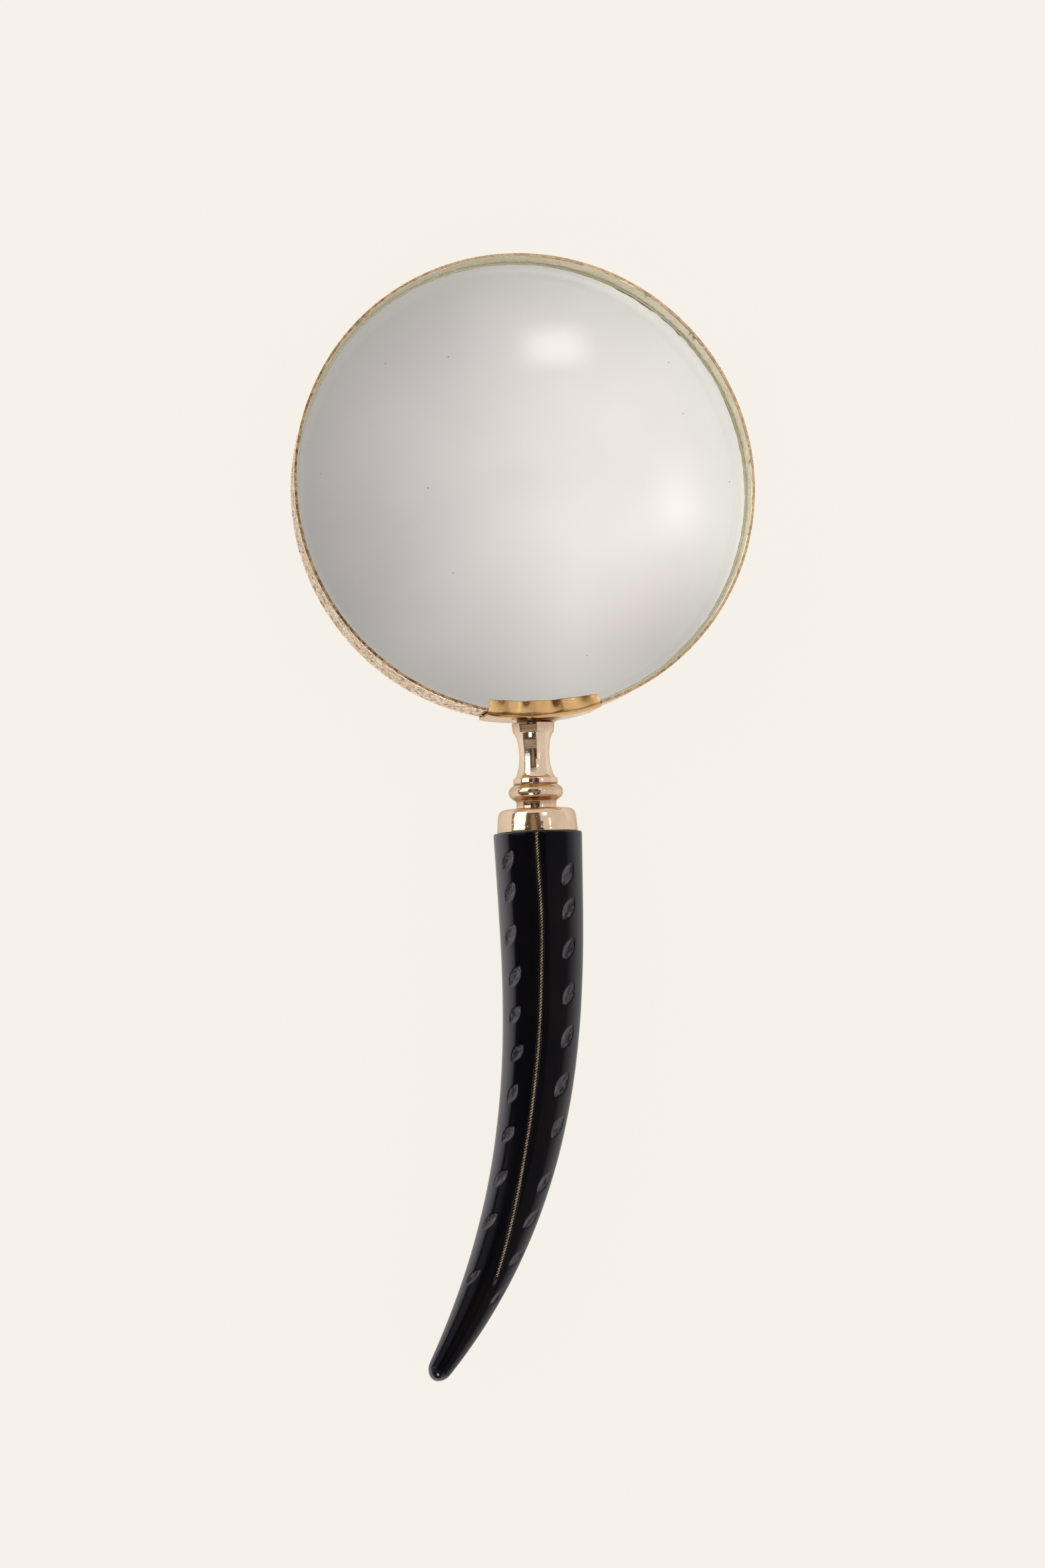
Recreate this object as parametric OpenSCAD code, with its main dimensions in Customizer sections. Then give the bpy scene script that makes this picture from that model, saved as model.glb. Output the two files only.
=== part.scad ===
// Hand magnifier: biconvex lens in a brass band, turned brass stem, curved horn handle.
// It lies flat. +Z is the lens axis, +Y runs from the handle to the lens, and the
// origin is on the table under the middle of the object.

/* [Lens] */
// Diameter of the lens
lens_d = 101.6; // [90:0.2:110]
// Thickness of the lens at its edge
lens_edge = 3.8; // [2.5:0.1:4.5]
// Radius of curvature of both lens faces
lens_curve_r = 260; // [250:10:600]

/* [Rim band] */
// Outer radius of the band
band_r = 51.7; // [50:0.1:56]
// Thickness of the band's brass strip
band_wall = 0.8; // [0.6:0.1:1.2]
// Depth of the band along the lens axis
band_depth = 15; // [14.5:0.5:17]
// Width of the butt joint in the band, filled with solder
seam_gap = 0.5; // [0.2:0.1:1]
// How far the band's edges are filed down under the saddle
band_relief = 0.2; // [0.1:0.05:0.4]

/* [Cement beads] */
// Width of a cement bead over the lens face
bead_w = 1.5; // [0.8:0.1:2]
// Height of a cement bead up the band's wall
bead_h = 0.6; // [0.4:0.1:1.8]

/* [Saddle] */
// Thickness of the saddle's sheet brass
saddle_sheet = 0.55; // [0.5:0.05:1]
// Angle that the saddle covers on the band
saddle_span = 28.2; // [20:0.1:36]
// How far the saddle is turned from the handle's line
saddle_turn = 1.8; // [0:0.05:2]
// How far a lip reaches in from the saddle's outer face
lip_reach = 3; // [2.5:0.1:4.5]

/* [Stem] */
// Radius of the spigot brazed to the saddle
spigot_r = 3.8; // [3:0.1:4.5]
// Radius of the top collar
collar_r = 4.74; // [4.2:0.02:5.2]
// Radius of the neck at its thinnest
neck_r = 3.38; // [3.3:0.02:4]
// Radius of the small collar below the neck
step_r = 4.95; // [4.5:0.05:5.2]
// Radius of the bead at its widest
knop_r = 6.1; // [5.6:0.05:6.6]
// Radius of the lower neck
foot_r = 4.45; // [4.2:0.05:4.6]
// Distance from the lens axis to the foot of the stem
stem_foot = 72; // [71:0.1:73.5]

/* [Thread] */
// Radius of the threaded stud
stud_r = 2.5; // [2:0.1:2.7]
// Pitch of the thread
thread_pitch = 1; // [0.8:0.05:1.25]
// Turns that take the handle off
unscrew_turns = 8.5; // [6.5:1:8.5]
// Running clearance between the stud and its bush
thread_play = 0.05; // [0.02:0.01:0.1]
// Radius of the knurled bush
insert_r = 4.55; // [4:0.05:5]
// Length of the knurled bush
insert_len = 13; // [11:0.5:15]

/* [Ferrule] */
// Radius of the ferrule at its rounded top
ferrule_top_r = 8.75; // [8.2:0.05:9]
// Radius of the ferrule at its skirt
ferrule_skirt_r = 9.05; // [8.95:0.05:9.6]
// Height of the ferrule
ferrule_h = 5.3; // [5:0.1:7]
// Rounding of the ferrule's top edge
ferrule_round = 1.4; // [0.6:0.1:1.6]
// Radius of the horn's tenon inside the ferrule
tenon_r = 7.7; // [7:0.1:7.8]

/* [Horn handle] */
// Radius of the horn at its thick end
horn_r = 9.9; // [9.6:0.1:11]
// Length of the horn along its curve, without the tenon
horn_len = 124.4; // [110:0.2:140]
// Angle that the horn bends through by its tip
horn_bend = 35.9; // [0:0.1:40]
// Length of the straight stretch before the bend
horn_straight = 8; // [4:0.5:20]
// Length of the rounded tip
tip_round = 2.6; // [1:0.1:4]

/* [Wire inlay] */
// Radius of the twisted wire
wire_r = 0.42; // [0.3:0.02:0.5]
// Depth of the groove that the wire lies in
groove_depth = 0.85; // [0.6:0.05:1.1]
// Half the width of the groove
groove_half = 0.5; // [0.45:0.05:0.7]
// Where the groove ends, measured along the horn
groove_end = 101; // [90:1:110]
// Length of the empty groove past the wire's end
groove_spare = 2.9; // [1:0.1:6]
// Angle of the wire round the horn, left of the top
wire_turn = 10.5; // [0:0.5:20]

/* [Hidden] */

play = 0.05;                 // gap between facets that lie side by side in one body
film = 0.15;                 // cement film in the ferrule
axis_z = horn_r;             // height of the lens centre and of the handle's axis
band_in_r = band_r - band_wall;
saddle_r = band_r + saddle_sheet;
lip_r = saddle_r - lip_reach;
lip_z = band_depth / 2 - band_relief;
saddle_low = 270 + saddle_turn - saddle_span / 2;
ferrule_plate = 1;           // thickness of the ferrule's top
tenon_top = stem_foot + ferrule_plate + film;
ferrule_in_r = tenon_r + film;
shoulder = stem_foot + ferrule_h;
stud_hidden = 8;             // length of stud inside the stem
stud_free = unscrew_turns * thread_pitch + 3.5; // length of stud below the stem: its travel and a short lead
insert_seat = 0.05;          // the bush stands clear of the horn's bore by this much
bore_spare = 2;              // the horn's bore runs on past the bush by this much

horn_steps = 60;             // rings along the horn
horn_sides = 44;             // flats round the horn between the groove's edges
wire_steps = 50;             // rings along the wire
wire_sides = 8;

// Heading of the horn's centre line at s: straight, then bending more and more, and less so near the tip.
function bend_at(s) =
    let (u = max(0, (s - horn_straight) / (horn_len - horn_straight)))
    horn_bend * u * u * (1.8 - 0.8 * u);

// Radius of the horn at s, with a rounded tip.
function taper_at(s) =
    let (u = s / horn_len, t = max(0, (s - horn_len + tip_round) / tip_round))
    horn_r * (1 - 0.338 * u - 0.436 * pow(u, 3)) * sqrt(max(0, 1 - t * t));

// Points of the horn's centre line from the shoulder, summed in short steps.
slice = 0.5;
line_pts = [
    for (i = 0, p = [0, -shoulder]; i <= ceil(horn_len / slice);
        i = i + 1, p = p + slice * [-sin(bend_at((i - 0.5) * slice)), -cos(bend_at((i - 0.5) * slice))])
    p
];
function line_at(s) =
    let (k = s / slice, i = min(floor(k), len(line_pts) - 2), f = k - i)
    line_pts[i] * (1 - f) + line_pts[i + 1] * f;

// Angle of the wire round the horn, from the top towards +X: it runs straight on as the horn bends away.
function wire_angle(s) =
    let (u = max(0, (s - 66) / 35))
    -wire_turn + 25.5 * u * u;

// A point on the horn's cross-section at s, at an angle from the top and a distance from the centre line.
function horn_point(s, angle, r) =
    let (c = line_at(s), b = bend_at(s), across = r * sin(angle))
    [c[0] + across * cos(b), c[1] - across * sin(b), r * cos(angle)];

// The tip reaches furthest down on the ring where its slope and the heading cancel.
tip_reach = max([
    for (s = [horn_len - 4 : 0.1 : horn_len])
    -line_at(s)[1] + taper_at(s) * sin(bend_at(s))
]);
lens_y = (tip_reach - band_r) / 2;

module at_lens() { translate([0, lens_y, axis_z]) children(); }

// Turns a profile drawn with x outwards and y as the distance from the lens axis onto the handle's axis.
module on_handle_axis(sides = 96) {
    at_lens() rotate([90, 0, 0]) rotate_extrude($fn = sides) children();
}

function arc(cx, cy, r, from, to, steps) =
    [for (i = [0 : steps]) let (a = from + (to - from) * i / steps) [cx + r * cos(a), cy + r * sin(a)]];

// Height of the lens face over the lens's middle plane, at r from its axis.
sphere_drop = sqrt(pow(lens_curve_r, 2) - pow(lens_d / 2, 2)) - lens_edge / 2;
function lens_face(r) = sqrt(pow(lens_curve_r, 2) - r * r) - sphere_drop;

module lens() {
    color("gainsboro", 0.5) at_lens() intersection() {
        cylinder(r = lens_d / 2, h = 20, center = true, $fn = 240);
        translate([0, 0, -sphere_drop]) sphere(r = lens_curve_r, $fn = 360);
        translate([0, 0, sphere_drop]) sphere(r = lens_curve_r, $fn = 360);
    }
}

// A ring about the lens axis with a rectangular section, or an arc of one.
module ring(r_in, r_out, z_low, z_high, from = 0, sweep = 360) {
    rotate([0, 0, from]) rotate_extrude(angle = sweep, $fn = 240)
        translate([r_in, z_low]) square([r_out - r_in, z_high - z_low]);
}

module seam_space(extra) {
    rotate([0, 0, saddle_turn])
        translate([-seam_gap / 2, -band_r - extra, -lip_z - extra])
            cube([seam_gap, band_wall + 2 * extra, 2 * lip_z + 2 * extra]);
}

module rim_band() {
    color("darkgoldenrod") at_lens() difference() {
        ring(band_in_r, band_r, -band_depth / 2, band_depth / 2);
        for (side = [0, 1]) mirror([0, 0, side])
            ring(band_in_r - 1, band_r + 1, lip_z, lip_z + 1, saddle_low, saddle_span);
        seam_space(1);
    }
}

module seam_solder() {
    color("khaki") at_lens() intersection() {
        ring(band_in_r, band_r, -lip_z, lip_z);
        seam_space(1);
    }
}

// A bead in the corner between the lens face and the band, filling the gap beside the lens's edge.
module bead() {
    inner = lens_d / 2 - bead_w;
    lift = 0.002;            // keeps the bead's straight side clear of the round lens face
    rotate_extrude($fn = 240) polygon([
        [lens_d / 2, 0], [band_in_r, 0], [band_in_r, lens_edge / 2 + bead_h],
        [inner, lens_face(inner) + 0.25], [inner, lens_face(inner) + lift],
        [lens_d / 2, lens_edge / 2 + lift]]);
}

module front_cement() { color("honeydew") at_lens() bead(); }
module back_cement() { color("honeydew") at_lens() mirror([0, 0, 1]) bead(); }

module saddle() {
    color("goldenrod") at_lens() {
        ring(band_r, saddle_r, -lip_z - saddle_sheet, lip_z + saddle_sheet, saddle_low, saddle_span);
        for (side = [0, 1]) mirror([0, 0, side])
            ring(lip_r, band_r + 0.1, lip_z, lip_z + saddle_sheet, saddle_low, saddle_span);
    }
}

// The fillet runs from the saddle's outer face to the stem's top collar.
fillet_reach = 1.6;
fillet_rise = 1.0;
collar_top = saddle_r + 0.55;

module braze_fillet() {
    color("peru") difference() {
        on_handle_axis() polygon(concat([[spigot_r, saddle_r - 1], [spigot_r, collar_top]],
            [for (i = [0 : 8]) let (u = i / 8)
                [collar_r + fillet_reach * u, collar_top - fillet_rise * (1 - pow(1 - u, 2))]],
            [[collar_r + fillet_reach, saddle_r - 1]]));
        at_lens() cylinder(r = saddle_r, h = 4 * horn_r, center = true, $fn = 240);
    }
}

module stem() {
    step_top = stem_foot - 6.8;
    step_low = stem_foot - 5.4;
    knop_mid = stem_foot - 3.8;
    knop_half = 1.65;
    neck_top = collar_top + 2.5;
    collar_low_r = collar_r - 0.2;
    flare_top = collar_low_r - neck_r; // the neck widens by this much at its top
    flare_low = 1;                     // and by this much at its foot
    color("burlywood") difference() {
        on_handle_axis() polygon(concat(
            [[0, saddle_r - 1], [spigot_r, saddle_r - 1], [spigot_r, collar_top]],
            [[collar_r - 0.15, collar_top], [collar_r, collar_top + 0.2],
                [collar_low_r, neck_top - 0.1]],
            [for (i = [0 : 18]) let (u = i / 18)
                [neck_r + flare_top * pow(1 - u, 6) + flare_low * pow(u, 5),
                    neck_top + u * (step_top - 0.3 - neck_top)]],
            [[step_r, step_top], [step_r, step_low - 0.1], [step_r - 0.35, step_low]],
            [for (a = [-66 : 12 : 66])
                [knop_r - 1.9 + 1.9 * cos(a), knop_mid + knop_half * sin(a) / sin(66)]],
            [[foot_r, knop_mid + knop_half + 0.15], [foot_r, stem_foot - 0.4], [foot_r + 0.1, stem_foot],
                [0, stem_foot]]));
        at_lens() cylinder(r = saddle_r, h = 4 * horn_r, center = true, $fn = 240);
        at_lens() rotate([90, 0, 0]) translate([0, 0, stem_foot - stud_hidden])
            cylinder(r = stud_r, h = stud_hidden + 1, $fn = 64);
    }
}

module stud() {
    color("gold") at_lens() rotate([90, 0, 0]) translate([0, 0, stem_foot - stud_hidden])
        cylinder(r = stud_r, h = stud_hidden + stud_free, $fn = 64);
}

module threaded_insert() {
    color("goldenrod") at_lens() rotate([90, 0, 0]) translate([0, 0, tenon_top]) difference() {
        cylinder(r = insert_r, h = insert_len, $fn = 64);
        translate([0, 0, -1]) cylinder(r = stud_r + thread_play, h = insert_len + 2, $fn = 64);
    }
}

module ferrule() {
    color("goldenrod") on_handle_axis() polygon(concat(
        [[stud_r + 0.5, stem_foot]],
        arc(ferrule_top_r - ferrule_round, stem_foot + ferrule_round, ferrule_round, -90, 0, 8),
        [[ferrule_skirt_r, shoulder - 0.6], [ferrule_skirt_r, shoulder], [ferrule_in_r, shoulder],
            [ferrule_in_r, stem_foot + ferrule_plate], [stud_r + 0.5, stem_foot + ferrule_plate]]));
}

module ferrule_cement() {
    color("saddlebrown") on_handle_axis() polygon([
        [insert_r + 0.4, stem_foot + ferrule_plate], [ferrule_in_r, stem_foot + ferrule_plate],
        [ferrule_in_r, shoulder], [tenon_r, shoulder], [tenon_r, tenon_top], [insert_r + 0.4, tenon_top]]);
}

// One ring of the horn: the round part, then the groove's two lower corners and its bottom.
function horn_ring(s) =
    let (r = taper_at(s), w = wire_angle(s),
        fade = max(0, min(1, (groove_end - s) / 1.5)),
        open = asin(min(0.5, groove_half / max(r, 0.01))) * max(fade, 0.3),
        depth = groove_depth * fade)
    concat(
        [for (i = [0 : horn_sides]) horn_point(s, w + open + (360 - 2 * open) * i / horn_sides, r)],
        [for (k = [-0.8, 0, 0.8]) horn_point(s, w + k * open, r - depth)]);

// Joins rings of points into a closed solid, with the first ring facing +Y.
module loft(rings) {
    n = len(rings[0]);
    m = len(rings);
    polyhedron(
        points = concat([for (ring = rings) each ring], [mean(rings[0]), mean(rings[m - 1])]),
        faces = concat(
            [for (i = [0 : m - 2], j = [0 : n - 1]) let (k = (j + 1) % n) [i * n + j, i * n + k, (i + 1) * n + k]],
            [for (i = [0 : m - 2], j = [0 : n - 1]) let (k = (j + 1) % n) [i * n + j, (i + 1) * n + k, (i + 1) * n + j]],
            [for (j = [0 : n - 1]) [m * n, (j + 1) % n, j]],
            [for (j = [0 : n - 1]) [m * n + 1, (m - 1) * n + j, (m - 1) * n + (j + 1) % n]]),
        convexity = 6);
}
function mean(pts, i = 0) = i == len(pts) - 1 ? pts[i] / len(pts) : pts[i] / len(pts) + mean(pts, i + 1);

module horn_grip() {
    color([0.12, 0.12, 0.13]) at_lens() difference() {
        union() {
            loft([for (i = [0 : horn_steps]) horn_ring(ease(i / horn_steps) * (horn_len - 0.05))]);
            rotate([90, 0, 0]) translate([0, 0, tenon_top])
                cylinder(r = tenon_r, h = shoulder - tenon_top + 2, $fn = 96);
        }
        rotate([90, 0, 0]) translate([0, 0, tenon_top - 1])
            cylinder(r = insert_r + insert_seat, h = insert_len + bore_spare + 1, $fn = 64);
    }
}
// Spaces the horn's rings closer towards the tip.
function ease(u) = 1 - pow(1 - u, 1.35);

module inlay_wire() {
    last = groove_end - groove_spare;
    color("goldenrod") at_lens() loft([
        for (i = [0 : wire_steps]) let (s = 0.2 + (last - 0.2) * i / wire_steps,
            r = taper_at(s) - groove_depth + wire_r + play, w = wire_angle(s))
        [for (j = [0 : wire_sides - 1]) let (a = 360 * j / wire_sides,
            across = wire_r * sin(a), up = wire_r * cos(a))
            horn_point(s, w + atan2(across, r + up), norm([across, r + up]))]
    ]);
}

lens();
rim_band();
seam_solder();
front_cement();
back_cement();
saddle();
braze_fillet();
stem();
stud();
threaded_insert();
ferrule();
ferrule_cement();
horn_grip();
inlay_wire();
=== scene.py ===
import bmesh
import bpy
import numpy as np
from mathutils import Matrix, Vector, noise


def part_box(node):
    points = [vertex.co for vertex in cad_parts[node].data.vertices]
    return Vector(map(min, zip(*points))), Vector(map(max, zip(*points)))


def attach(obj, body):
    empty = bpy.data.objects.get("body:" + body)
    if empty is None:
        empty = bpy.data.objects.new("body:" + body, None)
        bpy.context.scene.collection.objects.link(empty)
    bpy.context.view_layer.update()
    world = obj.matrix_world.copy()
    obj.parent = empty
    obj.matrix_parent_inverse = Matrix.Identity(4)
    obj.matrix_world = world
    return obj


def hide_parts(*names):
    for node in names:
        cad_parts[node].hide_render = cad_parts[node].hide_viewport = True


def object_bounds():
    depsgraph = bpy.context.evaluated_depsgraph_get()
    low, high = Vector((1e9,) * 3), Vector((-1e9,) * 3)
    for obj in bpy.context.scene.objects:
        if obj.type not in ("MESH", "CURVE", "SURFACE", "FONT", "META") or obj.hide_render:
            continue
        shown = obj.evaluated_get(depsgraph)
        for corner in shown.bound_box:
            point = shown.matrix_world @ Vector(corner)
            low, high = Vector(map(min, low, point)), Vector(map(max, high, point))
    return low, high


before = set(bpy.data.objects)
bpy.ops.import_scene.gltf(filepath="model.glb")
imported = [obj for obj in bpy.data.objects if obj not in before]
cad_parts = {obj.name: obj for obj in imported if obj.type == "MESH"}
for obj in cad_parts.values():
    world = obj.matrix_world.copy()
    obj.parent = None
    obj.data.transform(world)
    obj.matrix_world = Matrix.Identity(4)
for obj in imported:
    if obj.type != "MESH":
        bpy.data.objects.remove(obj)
cad_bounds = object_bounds()

# The lens
# ========
# A biconvex lens of clear optical glass, 101.6 mm across. Both faces are ground to the same
# curve and the edge is left as a narrow cylinder with its corners eased on a stone.
MM = 0.001
lens_low, lens_high = (np.array(corner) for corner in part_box("lens"))
middle = (lens_low + lens_high) / 2  # centre of the lens, from which every piece is measured


def skin(name, rows, loop=False, poles=(False, False), caps=False, marks=None):
    """A mesh from rows of points in mm about the lens centre. Each row closes on itself, and
    loop joins the last row to the first. A pole closes an end on its mean point, and caps
    closes both ends flat. marks gives point attributes, with one value for each point."""
    rows = np.asarray(rows, float)
    count, across = rows.shape[:2]
    points = rows.reshape(-1, 3)
    row, place = np.meshgrid(np.arange(count if loop else count - 1), np.arange(across), indexing="ij")
    row, place = row.ravel() * across, place.ravel()
    above, beside = (row + across) % (count * across), (place + 1) % across
    faces = np.stack([row + place, row + beside, above + beside, above + place], 1).tolist()
    extra = []
    for pole, first in zip(poles, (0, (count - 1) * across)):
        if pole:
            peak = len(points) + len(extra)
            extra.append(points[first:first + across].mean(axis=0))
            faces += [[first + (k + 1) % across, first + k, peak] for k in range(across)]
    if caps:
        faces += [list(range(across)), list(range((count - 1) * across, count * across))]
    if extra:
        points = np.vstack([points, extra])
    mesh = bpy.data.meshes.new(name)
    mesh.from_pydata((points * MM + middle).tolist(), [], faces)
    for label, values in (marks or {}).items():
        values = np.append(np.asarray(values, float).ravel(), np.zeros(len(extra)))
        mesh.attributes.new(label, "FLOAT", "POINT").data.foreach_set("value", values)
    return shown(name, mesh)


def shown(name, mesh, crease=40):
    """An object at the origin for a finished mesh, facing outwards and smooth but for its creases."""
    work = bmesh.new()
    work.from_mesh(mesh)
    bmesh.ops.recalc_face_normals(work, faces=work.faces)
    work.to_mesh(mesh)
    work.free()
    mesh.polygons.foreach_set("use_smooth", [True] * len(mesh.polygons))
    mesh.set_sharp_from_angle(angle=np.radians(crease))
    piece = bpy.data.objects.new(name, mesh)
    bpy.context.scene.collection.objects.link(piece)
    return piece


def turned(profile, sides, lens_axis=False):
    """Rows of a profile of (radius, distance) turned about the lens axis, or about the handle's
    axis, where the distance runs from the lens centre towards the handle."""
    radius, along = np.asarray(profile, float).T
    angle = np.linspace(0, 2 * np.pi, sides, endpoint=False)
    out, level = np.outer(radius, np.cos(angle)), np.outer(along, np.ones(sides))
    side = np.outer(radius, np.sin(angle))
    return np.stack([out, side, level] if lens_axis else [side, -level, out], axis=2)


def finish(name, **shader_values):
    """A material with its shader's constant values, such as base_color=..., and its node tree."""
    made = bpy.data.materials.new(name)
    made.use_nodes = True
    shader = made.node_tree.nodes["Principled BSDF"]
    for socket, value in shader_values.items():
        shader.inputs[socket.replace("_", " ").title().replace("Ior", "IOR")].default_value = value
    return made, made.node_tree, shader


def add(tree, kind, inputs=None, **settings):
    """Adds a node. An input that is itself a socket is linked, and any other is a value."""
    node = tree.nodes.new(kind)
    for setting, value in settings.items():
        setattr(node, setting, value)
    for socket, value in (inputs or {}).items():
        if isinstance(value, bpy.types.NodeSocket):
            tree.links.new(value, node.inputs[socket])
        else:
            node.inputs[socket].default_value = value
    return node


def calc(tree, operation, first, second):
    """One sum, such as MULTIPLY, on two values or sockets. Returns its socket."""
    return add(tree, "ShaderNodeMath", {0: first, 1: second}, operation=operation).outputs[0]


def mark(tree, name):
    """The value that a piece's mesh carries under that name, as a socket."""
    return add(tree, "ShaderNodeAttribute", attribute_name=name).outputs["Fac"]


def object_place(tree):
    """A point's place in metres, as a socket."""
    return add(tree, "ShaderNodeTexCoord").outputs["Object"]


def texture(tree, scale, kind="Noise", vector=None, **inputs):
    """A texture in object space, in features per metre. Returns its node."""
    if vector is None:
        vector = object_place(tree)
    names = {socket.replace("_", " ").title(): value for socket, value in inputs.items()}
    return add(tree, "ShaderNodeTex" + kind, {"Vector": vector, "Scale": scale, **names})


def ramp(tree, value, low, high, start=0.0, end=1.0):
    """Maps value from low..high to start..end, smoothly and without running past."""
    return add(tree, "ShaderNodeMapRange", {
        "Value": value, "From Min": low, "From Max": high, "To Min": start, "To Max": end,
    }, interpolation_type="SMOOTHSTEP").outputs["Result"]


def blend_colors(tree, share, first, second, how="MIX"):
    """first where share is 0 and second where it is 1. Each is a colour or a colour socket."""
    node = add(tree, "ShaderNodeMix", data_type="RGBA", blend_type=how)
    for place, value in ((0, share), (6, first), (7, second)):
        if isinstance(value, bpy.types.NodeSocket):
            tree.links.new(value, node.inputs[place])
        else:
            node.inputs[place].default_value = value if place == 0 else (*value, 1)
    return node.outputs[2]


def bump(tree, shader, height, depth_mm, strength=1.0):
    """Relief of that depth from a height of 0..1, on top of any relief that is there already."""
    inputs = {"Height": height, "Distance": depth_mm * MM, "Strength": strength}
    if shader.inputs["Normal"].links:
        inputs["Normal"] = shader.inputs["Normal"].links[0].from_socket
    tree.links.new(add(tree, "ShaderNodeBump", inputs).outputs["Normal"], shader.inputs["Normal"])


lens_r = (lens_high[0] - lens_low[0]) / 2 / MM
lens_half = (lens_high[2] - lens_low[2]) / 2 / MM
lens_edge_half = 1.9  # half the width of the cylindrical edge
lens_sag = lens_half - lens_edge_half
lens_curve = (lens_r ** 2 + lens_sag ** 2) / (2 * lens_sag)


def lens_face(r):
    """Height of the front face over the lens's middle plane."""
    return np.sqrt(lens_curve ** 2 - r ** 2) - lens_curve + lens_half


eased = 0.15  # width of the stoned corner
lens_sides = 200
radii = np.linspace(0.6, lens_r - eased, 44)
front = np.stack([radii, lens_face(radii)], axis=1)
edge = [[lens_r, lens_edge_half - eased], [lens_r, 0], [lens_r, eased - lens_edge_half]]
profile = np.vstack([front, edge, front[::-1] * [1, -1]])
lens = skin("lens_glass", turned(profile, lens_sides, lens_axis=True), poles=(True, True),
            marks={"back": np.repeat(profile[:, 1] < 0, lens_sides)})

lens_glass, tree, shader = finish("optical_glass", transmission_weight=1.0, ior=1.5, roughness=0.01)
specks = texture(tree, 95, "Voronoi", randomness=1.0)
speck = ramp(tree, specks.outputs["Distance"], 0.012, 0.03, 1.0, 0.0)
smears = texture(tree, 38, detail=6.0, roughness=0.6, distortion=0.8)
tree.links.new(blend_colors(tree, speck, (0.975, 0.97, 0.98), (0.30, 0.28, 0.27)),
               shader.inputs["Base Color"])
dusty = mark(tree, "back")
wiped = ramp(tree, smears.outputs[0], 0.4, 0.75, 0.05, 0.11)
film = calc(tree, "MULTIPLY", dusty, 0.24)
tree.links.new(calc(tree, "ADD", wiped, film), shader.inputs["Roughness"])
ground_edge, tree, shader = finish("ground_edge", roughness=0.6)
frost = texture(tree, 1500, detail=3.0).outputs[0]
frost_color = blend_colors(tree, frost, (0.50, 0.52, 0.49), (0.68, 0.69, 0.66))
tree.links.new(frost_color, shader.inputs["Base Color"])
lens.data.materials.append(lens_glass)
lens.data.materials.append(ground_edge)
for face in lens.data.polygons:
    x, y, _ = np.array(face.center) - middle
    if np.hypot(x, y) > (lens_r - 0.1) * MM:
        face.material_index = 1
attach(lens, "head")
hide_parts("lens")

# The cement beads
# ================
# Clear cement holds the lens in the hoop. It was run into the corner from the front and from
# the back by hand, so its inner edge wanders, and it shows faintly green against the brass.
band_r = (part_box("rim_band")[1][0] - middle[0]) / MM
band_half = (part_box("rim_band")[1][2] - middle[2]) / MM
strip = 0.8  # thickness of the hoop's brass
wall_r = band_r - strip
bead_width, bead_rise = 0.38, 0.3


def wander(x, y, z, size, seed, octaves=3):
    """Smooth noise of about -1..1 at points in mm, with features of that size."""
    points = np.stack([np.ravel(a) for a in np.broadcast_arrays(x, y, z)], axis=1) / size + seed * 17.3
    heights = [noise.fractal(point, 1.0, 2.0, octaves) for point in points.tolist()]
    return np.array(heights).reshape(np.shape(x + y + z))


def cement_bead(name, side):
    """One bead. side is 1 in front of the lens and -1 behind it."""
    bead_sides = 420
    angle = np.linspace(0, 2 * np.pi, bead_sides, endpoint=False)
    x, y = 50 * np.cos(angle), 50 * np.sin(angle)
    inner = wall_r - bead_width + 0.12 * (wander(x, y, 0 * x, 9, 1 + side) + wander(x, y, 0 * x, 2, 3 + side))
    top = lens_edge_half + bead_rise + 0.12 * wander(x, y, 0 * x, 6, 5 + side)
    outer = wall_r - 0.01
    rows = [(outer + 0 * x, 0.1 + 0 * x), (outer + 0 * x, top)]
    for share in (0.2, 0.4, 0.6, 0.8):  # the hollow surface from the wall down to the glass
        r = outer + (inner - outer) * share
        rows.append((r, lens_face(inner) + 0.05 + (top - lens_face(inner) - 0.05) * (1 - share) ** 1.8))
    rows.append((inner, lens_face(inner) + 0.03))
    rows.append((lens_r + 0.01 + 0 * x, lens_edge_half + 0.03 + 0 * x))
    rows.append((lens_r + 0.02 + 0 * x, 0.1 + 0 * x))
    rings = [np.stack([r * np.cos(angle), r * np.sin(angle), side * z], 1) for r, z in rows]
    return skin(name, rings, loop=True, marks={"dark_inner_edge": np.repeat([0, 0, 0, 0, 0, 0, 0.8, 1, 0], bead_sides)})


clear_cement, tree, shader = finish("clear_cement", transmission_weight=0.2, ior=1.48, roughness=0.25)
cloudy = texture(tree, 420, detail=4.0).outputs[0]
dark_inner_edge = mark(tree, "dark_inner_edge")
clean = blend_colors(tree, cloudy, (0.80, 0.78, 0.58), (0.95, 0.92, 0.74))
# The bead is coloured near black where it meets the glass.
tree.links.new(blend_colors(tree, dark_inner_edge, clean, (0.10, 0.11, 0.08)), shader.inputs["Base Color"])
bump(tree, shader, texture(tree, 700, detail=3.0).outputs[0], 0.08, 0.6)
for name, side in (("front_cement_bead", 1), ("back_cement_bead", -1)):
    bead = cement_bead(name, side)
    bead.data.materials.append(clear_cement)
    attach(bead, "head")
    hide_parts("front_cement" if side > 0 else "back_cement")

# The hoop
# ========
# Brass strip 15 mm wide and 0.8 mm thick, run through embossing rollers that leave a bark of
# small leaf strokes on its outer face, then bent round the lens and butt-jointed. Its edges
# were filed by hand and its inner wall is plain and dull.
SEAM_ANGLE = np.radians(-90 + 1.8)  # the saddle's middle, which sits a little right of the stem
seam_half = np.radians(0.28)
saddle_half = np.radians(14.1)
saddle_from, saddle_to = SEAM_ANGLE - saddle_half, SEAM_ANGLE + saddle_half
relief = 0.2  # the edges are filed down this much where the saddle grips them


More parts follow.
